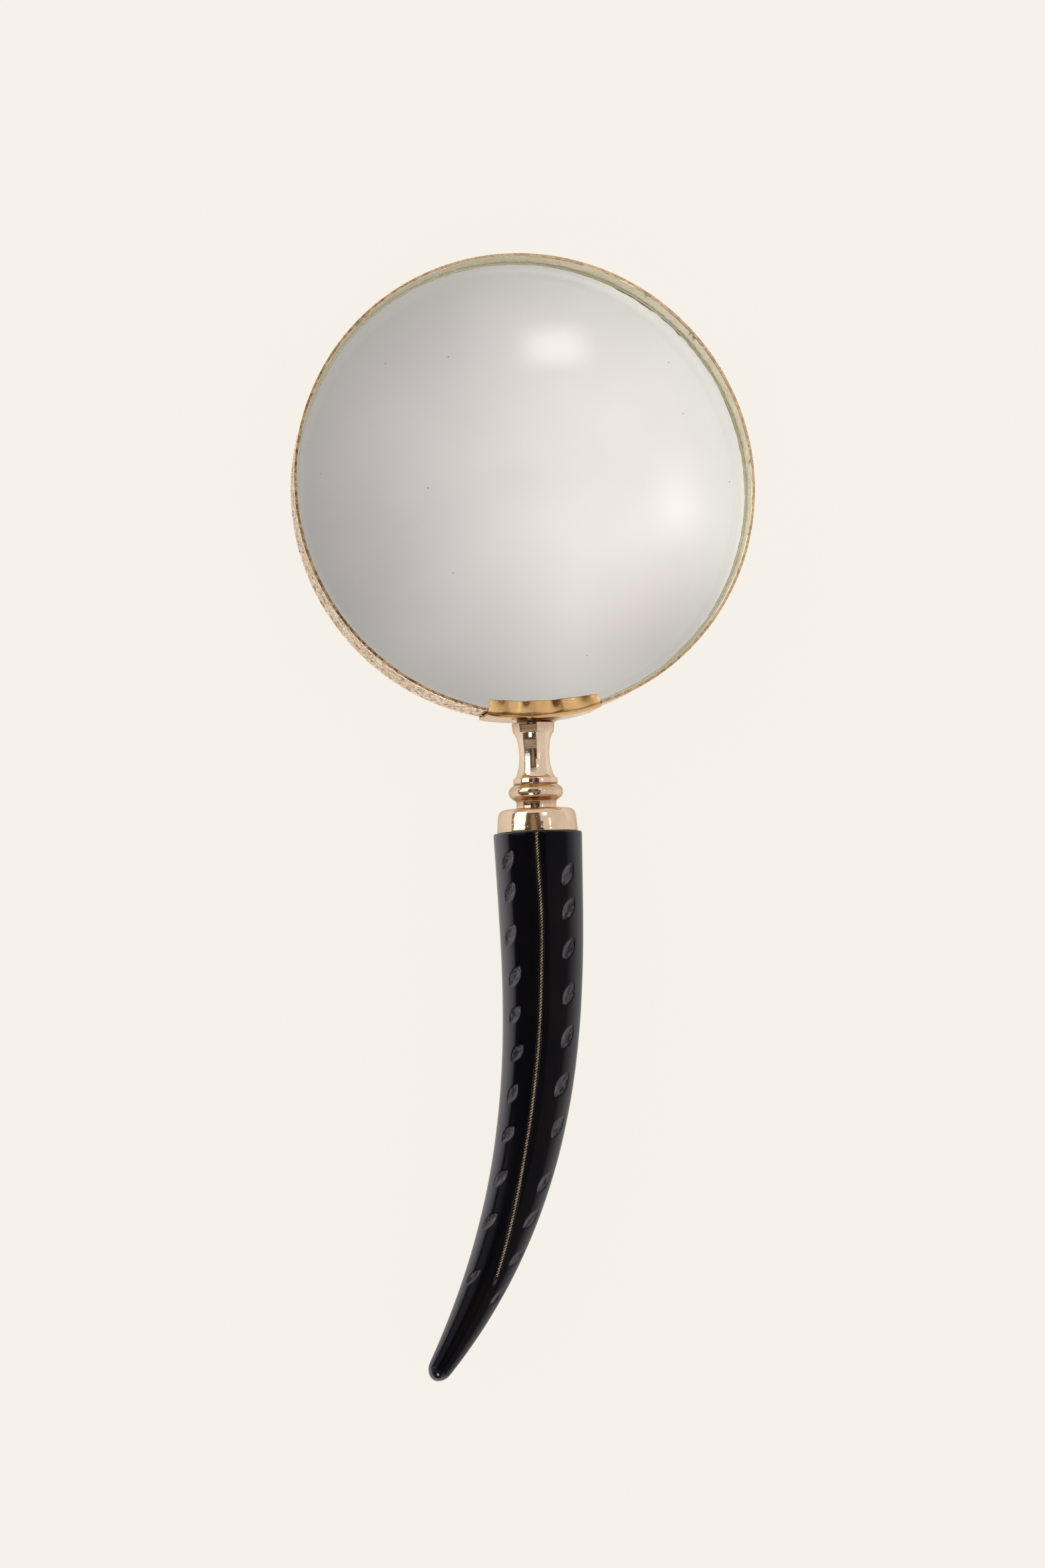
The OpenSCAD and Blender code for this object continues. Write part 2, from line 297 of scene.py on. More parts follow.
def smooth_step(value, low, high):
    """0 below low and 1 above high, with a smooth rise between them."""
    share = np.clip((value - low) / (high - low), 0, 1)
    return share * share * (3 - 2 * share)


columns = 1300
around = np.linspace(SEAM_ANGLE + seam_half, SEAM_ANGLE + 2 * np.pi - seam_half, columns)
from_saddle = np.abs(np.angle(np.exp(1j * (around - SEAM_ANGLE))))
in_the_open = smooth_step(from_saddle, saddle_half - 0.02, saddle_half + 0.01)
edge_z = band_half - relief * (1 - in_the_open)
outer_z = np.concatenate([[1, 0.97, 0.93], np.linspace(0.88, -0.88, 27), [-0.93, -0.97, -1]])
ANGLE, LEVEL = np.meshgrid(around, outer_z)
arc = band_r * ANGLE
x, y, z = band_r * np.cos(ANGLE), band_r * np.sin(ANGLE), LEVEL * band_half
sway = 2.6 * wander(x, y, z, 14, 11)
leaf_line = 2.8 * np.sin(arc / 6.2 + 0.5 * sway)  # a stem that winds along the strip
veins = np.sin((arc + 1.3 * np.abs(z - leaf_line) * np.sign(np.cos(arc / 9.0)) + sway) * 2 * np.pi / 1.9)
stone = wander(x, y, z * 1.5, 1.9, 12, 4)
crackle = 1 - np.abs(wander(x, y, z * 1.7, 3.0, 13, 3)) * 3.4
height = 0.42 * veins * smooth_step(np.abs(z - leaf_line), 0.1, 0.9) + stone
height -= 1.15 * smooth_step(crackle, 0.5, 0.95)
border = smooth_step(np.abs(LEVEL), 0.84, 0.93)
milled = 0.5 + 0.5 * np.sin(arc * 2 * np.pi / 1.05)
height = height * (1 - border) + border * (0.6 + 0.4 * milled * (1 - smooth_step(np.abs(LEVEL), 0.95, 1.0)))
height = np.clip(height, -1.3, 1.0)
emboss = 0.22  # depth of the relief
outer_r = band_r - emboss + emboss * height
pits = smooth_step(-height, 0.45, 1.05)
rows, pit_rows = [], []
filed = 0.022 * wander(x[0], y[0], z[0], 1.6, 14) + 0.04 * wander(x[0], y[0], z[0], 6, 15)
for level, r, pit in zip(outer_z, outer_r, pits):
    rows.append((r - 0.04 * (abs(level) == 1), level * edge_z + (filed if level == 1 else 0)))
    pit_rows.append(pit)
for r, level in ((wall_r + 0.3, -1), (wall_r + 0.06, -1), (wall_r, -0.985), (wall_r, -0.5), (wall_r, 0.5),
                 (wall_r, 0.988), (wall_r + 0.09, 1), (wall_r + 0.13, 1)):
    rows.append((r + 0 * around, level * edge_z + (0.6 * filed if level == 1 else 0)))
    pit_rows.append(0 * around)
wall_mark = np.array([0.0] * len(outer_z) + [0.0, 0.4, 1, 1, 1, 1, 1, 0.0])
edge_mark = np.array([1.0] + [0.0] * (len(outer_z) - 2) + [1.0, 1.0, 0.6, 0, 0, 0, 0, 0, 1.0])
section = np.array([np.stack([r * np.cos(around), r * np.sin(around), level], 1) for r, level in rows])
hoop = skin("rim_hoop", section.transpose(1, 0, 2), caps=True, marks={
    "pit": np.array(pit_rows).T, "inner_wall": np.tile(wall_mark, (columns, 1)),
    "filed_edge": np.tile(edge_mark, (columns, 1)),
    "arc": np.repeat(band_r * MM * around, len(edge_mark))})

hoop_brass, tree, shader = finish("embossed_brass", metallic=1.0)
pit = mark(tree, "pit")
inside = mark(tree, "inner_wall")
patina = texture(tree, 160, detail=5.0, roughness=0.65).outputs[0]
edge = mark(tree, "filed_edge")
arc_place = mark(tree, "arc")
height_place = add(tree, "ShaderNodeSeparateXYZ", {0: object_place(tree)}).outputs[2]
unrolled = add(tree, "ShaderNodeCombineXYZ", {0: arc_place, 1: height_place}).outputs[0]
drawn_out = add(tree, "ShaderNodeMapping", {"Vector": unrolled, "Scale": (0.9, 0.45, 1)}).outputs[0]
strokes_glints_and_shade = texture(tree, 760, vector=drawn_out, detail=4.0, roughness=0.7, distortion=0.6).outputs[0]
face_color = blend_colors(tree, ramp(tree, patina, 0.35, 0.7), (0.80, 0.58, 0.43), (0.88, 0.69, 0.54))
# Painted glints and painted shade: where the stroke pattern runs high the face is coloured near white, and
# where it runs low it is a dark brown. These stand in for light catching the relief and for the shade between
# it.
face_color = blend_colors(tree, ramp(tree, strokes_glints_and_shade, 0.53, 0.60), face_color, (1.0, 0.88, 0.68))
face_color = blend_colors(tree, ramp(tree, strokes_glints_and_shade, 0.34, 0.43, 0.85, 0.0), face_color, (0.28, 0.17, 0.10))
face_color = blend_colors(tree, pit, face_color, (0.07, 0.045, 0.03))
grain = texture(tree, 900, detail=3.0).outputs[0]
edge_color = blend_colors(tree, ramp(tree, grain, 0.4, 0.6), (0.64, 0.43, 0.27), (0.90, 0.64, 0.43))
face_color = blend_colors(tree, edge, face_color, edge_color)
wall_color = blend_colors(tree, ramp(tree, patina, 0.4, 0.65), (0.82, 0.76, 0.54), (0.92, 0.86, 0.64))
tree.links.new(blend_colors(tree, inside, face_color, wall_color), shader.inputs["Base Color"])
tree.links.new(ramp(tree, grain, 0.3, 0.7, 0.18, 0.36), shader.inputs["Roughness"])
outside = calc(tree, "SUBTRACT", 1.0, calc(tree, "MAXIMUM", inside, edge))
bump(tree, shader, calc(tree, "MULTIPLY", strokes_glints_and_shade, outside), 0.5)
bump(tree, shader, grain, 0.03, 0.5)
hoop.data.materials.append(hoop_brass)
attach(hoop, "head")
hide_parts("rim_band")

# The seam
# ========
# The hoop's butt joint is filled with soft solder and filed flush. The saddle hides it, except
# inside the hoop.
solder, tree, shader = finish("grey_solder", metallic=1.0)
dull = texture(tree, 800, detail=4.0).outputs[0]
solder_color = blend_colors(tree, dull, (0.42, 0.38, 0.30), (0.62, 0.57, 0.46))
tree.links.new(solder_color, shader.inputs["Base Color"])
tree.links.new(ramp(tree, dull, 0.3, 0.7, 0.35, 0.6), shader.inputs["Roughness"])
bump(tree, shader, dull, 0.05, 0.6)


def dress(node_name, made):
    """Gives a CAD node that keeps its shape its own finish."""
    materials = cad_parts[node_name].data.materials
    materials.clear()
    materials.append(made)


dress("seam_solder", solder)

# The saddle
# ==========
# A strip of sheet brass folded over both edges of the hoop. Its lips were tapped down round
# the curve with a hammer, so they wave a little, and the left end stands off the hoop.
sheet = 0.55  # thickness of the brass
steps = 120
swing = np.linspace(saddle_from, saddle_to, steps)
along = (swing - saddle_from) / (saddle_to - saddle_from)
seat_r = band_r + 0.02
roll, back_roll = 0.5, 0.6  # radius of the front and back folds, to the sheet's middle
back_edge_r = 49.4
bulge = 0.42 * np.exp(-((along - 0.02) / 0.16) ** 2) + 0.06 * np.sin(along * 17)
lip_edge_r = 48.65 + 0.55 * (2 * along - 1) ** 2 + 0.05 * np.sin(along * 23 + 1)
lip_edge_r += 0.25 * smooth_step(along, 0.85, 1)
lip_wave = 0.11 * np.sin(along * 24.4 + 4.1) + 0.02 * np.sin(along * 41)
lip_top = band_half - relief + sheet / 2 + 0.16
back_turn = 0.7 - lip_top  # height at which the back fold starts
rows = []
for r_lip, wave, swell in zip(lip_edge_r, lip_wave, bulge):
    r_front = seat_r + sheet / 2 + swell - roll
    r_back = seat_r + sheet / 2 + 0.35 * swell - back_roll
    line = []  # the sheet's middle line from the front lip's edge to the back lip's edge
    for share in np.linspace(0, 1, 7):
        line.append((r_lip + (r_front - r_lip) * share, lip_top + (wave - 0.3) * (1 - share)))
    for a in np.radians(np.linspace(80, 0, 8)):
        line.append((r_front + roll * np.cos(a), lip_top - roll + roll * np.sin(a)))
    for share in np.linspace(0.08, 0.92, 8):
        r_out = r_front + roll
        line.append((r_out + (r_back + back_roll - r_out) * share, (lip_top - roll) * (1 - 2 * share)))
    for a in np.radians(np.linspace(0, -85, 8)):
        line.append((r_back + back_roll * np.cos(a), back_turn + back_roll * np.sin(a)))
    for share in np.linspace(0.1, 1, 6):
        line.append((r_back + (back_edge_r - r_back) * share, back_turn - back_roll + 0.15 * share))
    line = np.array(line)
    run = np.gradient(line, axis=0)
    run /= np.linalg.norm(run, axis=1)[:, None]
    normal = np.stack([-run[:, 1], run[:, 0]], axis=1)
    upper, lower = line + normal * sheet / 2, line - normal * sheet / 2
    back_edge, lip_edge = line[-1] + run[-1] * sheet * 0.3, line[0] - run[0] * sheet * 0.3  # rounded over
    rows.append(np.vstack([upper, [back_edge], lower[::-1], [lip_edge]]))
r, level = np.moveaxis(np.array(rows), 2, 0)
saddle_points = np.stack([r * np.cos(swing)[:, None], r * np.sin(swing)[:, None], level], axis=2)
saddle = skin("saddle", saddle_points, caps=True)


def brass(name, low, high, rough_low, rough_high):
    """Polished cast brass: its colour drifts a little, with hairline scratches and small pits."""
    made, tree, shader = finish(name, metallic=1.0, specular_tint=(0.75, 0.66, 0.58, 1))
    drift = texture(tree, 120, detail=5.0, roughness=0.6).outputs[0]
    drift_color = blend_colors(tree, ramp(tree, drift, 0.35, 0.68), low, high)
    tree.links.new(drift_color, shader.inputs["Base Color"])
    tree.links.new(ramp(tree, drift, 0.3, 0.75, rough_low, rough_high), shader.inputs["Roughness"])
    combed = add(tree, "ShaderNodeMapping", {
        "Vector": object_place(tree), "Rotation": (0.4, 0.9, 0.3), "Scale": (1, 14, 14)}).outputs[0]
    hairs = texture(tree, 220, vector=combed, detail=2.0).outputs[0]
    bump(tree, shader, ramp(tree, hairs, 0.62, 0.7), 0.012, 0.35)
    pores = texture(tree, 1100, "Voronoi", randomness=1.0).outputs["Distance"]
    bump(tree, shader, ramp(tree, pores, 0.05, 0.16), 0.03, 0.5)
    return made


def dark_bands_and_painted_shade(made, color):
    """Darkens a material towards a colour where its piece carries this mark: painted shade on the brazed
    joint, darker bands on the stem.
    """
    tree, shader = made.node_tree, made.node_tree.nodes["Principled BSDF"]
    bright = shader.inputs["Base Color"].links[0].from_socket
    tree.links.new(blend_colors(tree, mark(tree, "dark_bands_and_painted_shade"), bright, color), shader.inputs["Base Color"])


saddle_brass = brass("saddle_brass", (0.74, 0.46, 0.20), (0.83, 0.54, 0.27), 0.10, 0.2)
saddle.data.materials.append(saddle_brass)
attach(saddle, "head")
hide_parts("saddle")

# The brazed joint
# ================
# Brazing metal drawn round the top of the stem. It ran further along the saddle on the right
# than on the left, and was filed away in front.
sides = 96
turn = np.linspace(0, 2 * np.pi, sides, endpoint=False)  # 0 is up, a quarter turn is to the right
reach = 0.2 + 2.1 * smooth_step(np.sin(turn), -0.1, 1.0) + 0.5 * smooth_step(-np.cos(turn), 0.2, 1.0)
saddle_out = seat_r + sheet
fillet_end = 53.35  # distance from the lens centre at which it meets the stem's collar
rows = []
for share in np.linspace(0, 1, 9):
    radius = 4.6 - 0.5 * smooth_step(np.cos(turn), 0.2, 0.8) + reach * (1 - share) ** 2
    x, z = radius * np.sin(turn), radius * np.cos(turn)
    foot = np.sqrt(saddle_out ** 2 - x ** 2) - 0.12
    rows.append(np.stack([x, -(foot + (fillet_end - foot) * share), z], 1))
for depth in (fillet_end - 0.05, 52.0):
    rows.append(np.stack([4.2 * np.sin(turn), -depth + 0 * turn, 4.2 * np.cos(turn)], 1))
# The joint's front, under the saddle's front lip, is coloured dark brown: painted shade.
fillet = skin("braze_fillet", rows, loop=True, marks={
    "dark_bands_and_painted_shade": np.tile(0.9 * smooth_step(np.cos(turn), 0.3, 0.75), (len(rows), 1))})
fillet_brass = brass("brazing_metal", (0.76, 0.59, 0.47), (0.84, 0.68, 0.55), 0.14, 0.28)
dark_bands_and_painted_shade(fillet_brass, (0.14, 0.07, 0.035))
fillet.data.materials.append(fillet_brass)
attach(fillet, "head")
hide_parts("braze_fillet")

# The stem
# ========
# Cast brass turned on a lathe and polished: a collar, a waisted neck, a small collar, a round
# bead and a lower neck. The tool left faint rings, and the casting small pits.
top_collar = [(3.80, 51.85), (3.80, 52.75), (3.85, 52.85), (4.62, 52.86), (4.76, 53.0), (4.75, 53.4),
              (4.68, 54.0), (4.62, 54.6), (4.56, 55.0)]
neck = [(4.38, 55.08), (4.21, 55.4), (4.03, 55.75), (3.86, 56.15), (3.71, 56.65), (3.56, 57.4),
        (3.48, 58.15), (3.42, 58.75), (3.38, 59.6), (3.38, 60.4), (3.42, 61.1), (3.49, 61.75), (3.58, 62.35),
        (3.71, 62.95), (3.86, 63.5), (4.03, 64.1), (4.25, 64.6), (4.45, 64.95), (4.60, 65.1)]
small_collar = [(4.86, 65.2), (4.93, 65.3), (4.95, 65.6), (4.97, 66.3), (4.93, 66.45), (4.86, 66.52)]
round_bead = [(4.90, 66.62), (5.15, 66.78), (5.55, 67.08), (5.86, 67.45), (6.05, 67.9), (6.10, 68.3),
              (6.06, 68.7), (5.90, 69.1), (5.60, 69.5), (5.20, 69.85), (4.75, 70.15)]
foot = [(4.56, 70.35), (4.47, 70.7), (4.44, 71.3), (4.47, 71.85), (4.42, 71.96), (2.30, 71.98)]


def rounded(knots, spacing=0.16):
    """The profile with more points between its knots, for an even mesh."""
    knots = np.array(knots)
    points = [knots[0]]
    for a, b in zip(knots[:-1], knots[1:]):
        pieces = max(1, int(np.ceil(np.linalg.norm(b - a) / spacing)))
        points += [a + (b - a) * k / pieces for k in range(1, pieces + 1)]
    return np.array(points)


profile = rounded(top_collar + neck + small_collar + round_bead + foot)
# The brass is coloured darker in bands: over the top collar, in the crease under the small collar, on both
# slopes of the bead and at the foot.
stem_dark_bands = sum(most * np.exp(-((profile[:, 1] - depth) / wide) ** 2) for depth, wide, most in (
    (53.1, 1.7, 0.5), (66.52, 0.25, 0.8), (67.6, 0.8, 0.42), (69.7, 0.8, 0.6), (70.8, 0.7, 0.5)))
stem_sides = 144
stem = skin("stem", turned(profile, stem_sides), poles=(True, True), marks={
    "dark_bands_and_painted_shade": np.repeat(stem_dark_bands, stem_sides)})
stem_brass = brass("stem_brass", (0.78, 0.61, 0.49), (0.88, 0.72, 0.58), 0.05, 0.13)
dark_bands_and_painted_shade(stem_brass, (0.42, 0.25, 0.13))
stem.data.materials.append(stem_brass)
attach(stem, "head")
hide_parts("stem")

# The stud
# ========
# A 5 mm brass rod with a right-hand thread of 1 mm pitch, screwed and soldered into the stem.
# The handle unscrews from its lower end.
stud_low, stud_high = (np.array(corner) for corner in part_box("stud"))


def tree_input(tree, name, value, kind="NodeSocketFloat"):
    """A named input of a geometry tree. Returns its identifier, by which a modifier sets it."""
    socket = tree.interface.new_socket(name, in_out="INPUT", socket_type=kind)
    socket.default_value = value
    return socket.identifier


def geometry_tree(name):
    """An empty geometry tree that takes a geometry and gives one."""
    tree = bpy.data.node_groups.new(name, "GeometryNodeTree")
    tree.interface.new_socket("Geometry", in_out="OUTPUT", socket_type="NodeSocketGeometry")
    tree.interface.new_socket("Geometry", in_out="INPUT", socket_type="NodeSocketGeometry")
    return tree


def close_tree(tree, geometry, made):
    """Ends a tree in Realize Instances and Set Material."""
    real = add(tree, "GeometryNodeRealizeInstances", {"Geometry": geometry})
    coated = add(tree, "GeometryNodeSetMaterial", {"Geometry": real.outputs[0], "Material": made})
    smooth = add(tree, "GeometryNodeSetShadeSmooth", {"Geometry": coated.outputs[0]})
    add(tree, "NodeGroupOutput", {"Geometry": smooth.outputs[0]})


def grown(name, base, tree, values):
    """Runs a tree on a base object with those values, and keeps the result as a plain mesh."""
    modifier = base.modifiers.new("grow", "NODES")
    modifier.node_group = tree
    for identifier, value in values.items():
        modifier[identifier] = value
    bpy.context.view_layer.update()
    ready = base.evaluated_get(bpy.context.evaluated_depsgraph_get())
    mesh = bpy.data.meshes.new_from_object(ready)
    base.modifiers.remove(modifier)
    bpy.data.objects.remove(base)
    return shown(name, mesh)


def blank(name):
    """An object with an empty mesh, for a tree that makes its own geometry."""
    base = bpy.data.objects.new(name, bpy.data.meshes.new(name))
    bpy.context.scene.collection.objects.link(base)
    return base


thread_tree = geometry_tree("screw_thread")
pitch_id = tree_input(thread_tree, "Pitch", 0.001)
root_id = tree_input(thread_tree, "Root radius", 0.00195)
crest_id = tree_input(thread_tree, "Crest height", 0.0005)
length_id = tree_input(thread_tree, "Length", 0.012)
top_id = tree_input(thread_tree, "Top", (0, 0, 0), "NodeSocketVector")
given = add(thread_tree, "NodeGroupInput")
root, length = given.outputs["Root radius"], given.outputs["Length"]
helix = add(thread_tree, "GeometryNodeCurveSpiral", {
    "Resolution": 40, "Rotations": calc(thread_tree, "DIVIDE", length, given.outputs["Pitch"]),
    "Start Radius": root, "End Radius": root, "Height": length})
ridge = add(thread_tree, "GeometryNodeCurvePrimitiveCircle", {
    "Resolution": 6, "Radius": given.outputs["Crest height"]})
wound = add(thread_tree, "GeometryNodeCurveToMesh", {
    "Curve": helix.outputs[0], "Profile Curve": ridge.outputs[0], "Fill Caps": True})
core = add(thread_tree, "GeometryNodeMeshCylinder", {"Vertices": 48, "Radius": root, "Depth": length})
lift = add(thread_tree, "ShaderNodeCombineXYZ", {"Z": calc(thread_tree, "MULTIPLY", length, 0.5)})
raised = add(thread_tree, "GeometryNodeTransform", {
    "Geometry": core.outputs[0], "Translation": lift.outputs[0]})
both = add(thread_tree, "GeometryNodeJoinGeometry")
thread_tree.links.new(wound.outputs[0], both.inputs[0])
thread_tree.links.new(raised.outputs[0], both.inputs[0])
laid = add(thread_tree, "GeometryNodeTransform", {
    "Geometry": both.outputs[0], "Translation": given.outputs["Top"], "Rotation": (np.pi / 2, 0, 0)})
stud_brass = brass("stud_brass", (0.70, 0.52, 0.30), (0.82, 0.64, 0.38), 0.16, 0.3)
close_tree(thread_tree, laid.outputs[0], stud_brass)
stud_inset = 0.5 * MM  # room for the thread's last half turn at each end
stud_length = float(stud_high[1] - stud_low[1]) - 2 * stud_inset
stud = grown("threaded_stud", blank("stud_base"), thread_tree, {
    pitch_id: 1.0 * MM, root_id: 2.05 * MM, crest_id: 0.45 * MM, length_id: stud_length,
    top_id: (float(middle[0]), float(stud_high[1]) - stud_inset, float(middle[2]))})
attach(stud, "head")
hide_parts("stud")

# The bush
# ========
# A knurled brass bush that takes the stud. It is bonded into the horn, out of sight.
dress("threaded_insert", brass("bush_brass", (0.66, 0.50, 0.28), (0.78, 0.62, 0.36), 0.2, 0.34))

# The ferrule
# ===========
# A brass cap spun to a rounded top and cemented over the horn's tenon. Its skirt was trimmed
# by hand, which left fine chatter marks on one side and a slightly uneven lower edge.
crown = [(3.0, 72.9), (3.0, 72.1), (3.1, 72.0), (6.9, 72.0), (7.4, 72.06), (7.85, 72.22), (8.2, 72.48),
         (8.45, 72.8), (8.60, 73.15)]
skirt = [(8.70, 73.6), (8.77, 74.0), (8.82, 74.4), (8.88, 75.0), (8.95, 75.8), (8.99, 76.25), (9.04, 76.6),
         (9.05, 77.1), (9.0, 77.24), (8.7, 77.28)]
inside_wall = [(7.88, 77.28), (7.87, 73.0), (7.6, 72.95)]
outline = rounded(crown + skirt + inside_wall, 0.2)
ferrule_sides = 240
rows = turned(outline, ferrule_sides)
angle = np.linspace(0, 2 * np.pi, ferrule_sides, endpoint=False)  # 0 is up, a quarter turn to the right
round_x, round_z = 9 * np.sin(angle)[None, :], 9 * np.cos(angle)[None, :]
depth = outline[:, 1][:, None]
on_side = smooth_step(outline[:, 0], 8.3, 8.7)[:, None]
change = on_side * 0.055 * wander(round_x, depth, round_z, 5, 21)  # shallow dents
rows[:, :, 0] += change * np.sin(angle)
rows[:, :, 2] += change * np.cos(angle)
low_edge = smooth_step(outline[:, 1], 76.5, 77.2)[:, None] * on_side
rows[:, :, 1] += low_edge * (0.05 + 0.07 * wander(round_x, 0 * depth, round_z, 4, 22))
chatter = smooth_step(depth, 74.6, 75.4) * np.exp(-((angle - np.radians(37)) / 0.25) ** 2)[None, :]
ferrule = skin("ferrule", rows, loop=True, marks={"chatter": chatter})
ferrule_brass = brass("ferrule_brass", (0.72, 0.55, 0.41), (0.82, 0.65, 0.50), 0.04, 0.12)
tree, shader = ferrule_brass.node_tree, ferrule_brass.node_tree.nodes["Principled BSDF"]
upright = add(tree, "ShaderNodeMapping", {"Vector": object_place(tree), "Scale": (1, 0.06, 0.3)}).outputs[0]
ticks = texture(tree, 2800, vector=upright, detail=1.0).outputs[0]
bump(tree, shader, calc(tree, "MULTIPLY", ticks, mark(tree, "chatter")), 0.25, 0.8)
ferrule.data.materials.append(ferrule_brass)
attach(ferrule, "handle")
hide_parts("ferrule")

# The ferrule's cement
# ====================
# A film of brown resin between the ferrule and the tenon.
resin, tree, shader = finish("brown_resin", roughness=0.5)
lumps = texture(tree, 900, detail=4.0).outputs[0]
resin_color = blend_colors(tree, lumps, (0.10, 0.05, 0.025), (0.28, 0.15, 0.07))
tree.links.new(resin_color, shader.inputs["Base Color"])
bump(tree, shader, lumps, 0.1, 0.7)
dress("ferrule_cement", resin)

# The horn handle
# ===============
# The solid tip of a black buffalo horn, turned to a tenon at the top and polished. A groove for
# the wire runs along its upper side, and two rows of slanting notches are ground in by hand.
shoulder = 77.3
horn_r, horn_len, tip_round = 9.9, 124.4, 2.6


def heading(s):
    """Angle in radians that the horn has bent through at s mm from the shoulder."""
    u = np.maximum(0, (s - 8) / (horn_len - 8))
    return np.radians(35.9) * u * u * (1.8 - 0.8 * u)


def horn_radius(s):
    """The horn's radius in mm at s mm from the shoulder, down to 0 at the rounded tip."""
    u, t = s / horn_len, np.clip((s - horn_len + tip_round) / tip_round, 0, 1)
    return horn_r * (1 - 0.338 * u - 0.436 * u ** 3) * np.sqrt(np.maximum(0, 1 - t * t))


stride = 0.25
fine_s = np.arange(0, horn_len + 1.04 * stride, stride)
mid_heading = heading((fine_s[1:] + fine_s[:-1]) / 2)
line_x = np.append(0, np.cumsum(-np.sin(mid_heading) * stride))
line_y = np.append(0, np.cumsum(-np.cos(mid_heading) * stride)) - shoulder


def on_horn(s, angle, r):
    """The point at s along the horn, at an angle in radians from the top towards the right."""
    across, bend = r * np.sin(angle), heading(s)
    return np.stack([np.interp(s, fine_s, line_x) + across * np.cos(bend),
                     np.interp(s, fine_s, line_y) - across * np.sin(bend), r * np.cos(angle)], axis=-1)


def wire_angle(s):
    """Where the wire runs round the horn: straight, then crossing over as the horn bends away."""
    u = np.maximum(0, (s - 66) / 35)
    stray = 2.2 * np.exp(-((s - 19) / 10) ** 2) - 1.6 * np.exp(-((s - 58) / 16) ** 2)
    return np.radians(-10.2 + 25.2 * u * u + stray)


wire_end, groove_end = 98.1, 101.0
# each notch's distance from the shoulder in mm and its angle from the top in degrees
notch_left = [(6.3, -54), (13.2, -53), (22.8, -58), (31.9, -51), (40.5, -52), (49.0, -45.5), (58.2, -48.5),
              (67.4, -48.3), (77.6, -48.7), (87.5, -50), (100.5, -47)]
notch_right = [(9.7, 32), (17.2, 32.6), (25.9, 32), (35.7, 33.4), (44.8, 35.6), (55.1, 35.3), (64.0, 42.5),
               (76.0, 43.7), (84.1, 42), (93.0, 43.8), (101.9, 44)]

groove_lanes = np.array([1.3, 2.4, 3.1, 3.5, 4.3, 6.0])  # closer together at the groove's walls
lane = np.radians(np.concatenate([[0], groove_lanes, np.linspace(8, 352, 166), 360 - groove_lanes[::-1]]))
s_rows = np.concatenate([[0.0, 0.12, 0.3], np.arange(0.55, horn_len - tip_round, 0.3),
                         horn_len - tip_round * (1 - np.sin(np.linspace(0, np.pi / 2, 14)[:-1]))])
S, LANE = np.meshgrid(s_rows, lane, indexing="ij")
offset = np.where(LANE > np.pi, LANE - 2 * np.pi, LANE)  # angle from the wire
ROUND = wire_angle(S) + offset
R = horn_radius(S)
R = R * (1 + 0.004 * wander(R * np.sin(ROUND), S, R * np.cos(ROUND), 14, 31, 2))
carve, ground = np.zeros_like(S), np.zeros_like(S)
hand = np.random.default_rng(7)  # no two notches are cut quite alike
for s0, degrees in notch_left + notch_right:
    lean, size, deep = np.radians(hand.normal(36, 4)), hand.normal(1, 0.07), hand.normal(0.48, 0.05)
    ds = S - s0
    across = horn_radius(np.full_like(S, s0)) * np.angle(np.exp(1j * (ROUND - np.radians(degrees))))
    u = -ds * np.cos(lean) + across * np.sin(lean)
    v = ds * np.sin(lean) + across * np.cos(lean)
    narrow = min(1.0, horn_radius(s0) / 7.5)
    lengthwise = np.clip(1 - (u / (2.75 * size)) ** 2, 0, 1)  # pointed at both ends, as a wheel cuts
    q = np.abs(v) / (1.3 * size * narrow * np.maximum(lengthwise, 0.02))
    carve = np.maximum(carve, deep * narrow * lengthwise * np.clip(1 - q * q, 0, 1) ** 0.8)
    ground = np.maximum(ground, (1 - smooth_step(q, 0.85, 1.12)) * (lengthwise > 0))
groove = (1 - smooth_step(np.abs(offset) * R, 0.40, 0.56)) * smooth_step(groove_end - S, 0, 2.2)
groove *= np.where(S > wire_end - 1, (np.abs(offset) * R < 0.2 + 0.3 * (groove_end - S) / 3.9), 1.0)
carve = np.maximum(carve, (0.72 - 0.5 * smooth_step(S, wire_end, wire_end + 0.8)) * groove)
ground = np.maximum(ground, groove)
R = R - carve
R[:3] -= np.array([0.30, 0.12, 0.03])[:, None]  # the shoulder's eased corner
skin_rows = on_horn(S, ROUND, np.maximum(R, 0.01))
bore_and_tenon = [(4.6, 88.1), (4.6, 80.0), (4.6, 73.25), (4.75, 73.16), (7.5, 73.16), (7.68, 73.3),
                  (7.68, shoulder)]
inner = [on_horn(0 * lane, wire_angle(0) + lane, np.full_like(lane, r)) - np.array([0, depth - shoulder, 0])
         for r, depth in bore_and_tenon]
rows = np.concatenate([inner, skin_rows])
hidden = np.zeros((len(inner), len(lane)))
# The right flank is marked: there the horn shines less, and its edge colour is darker, a painted shade on
# that side.
worn_and_shaded_side = smooth_step(np.angle(np.exp(1j * ROUND)), np.radians(15), np.radians(50))
tip = smooth_step(S, horn_len - 3.2, horn_len - 1.2)
horn = skin("horn_handle", rows, poles=(True, True), marks={
    "ground": np.concatenate([hidden, ground]), "worn_and_shaded_side": np.concatenate([hidden, worn_and_shaded_side]),
    "tip": np.concatenate([hidden, tip])})

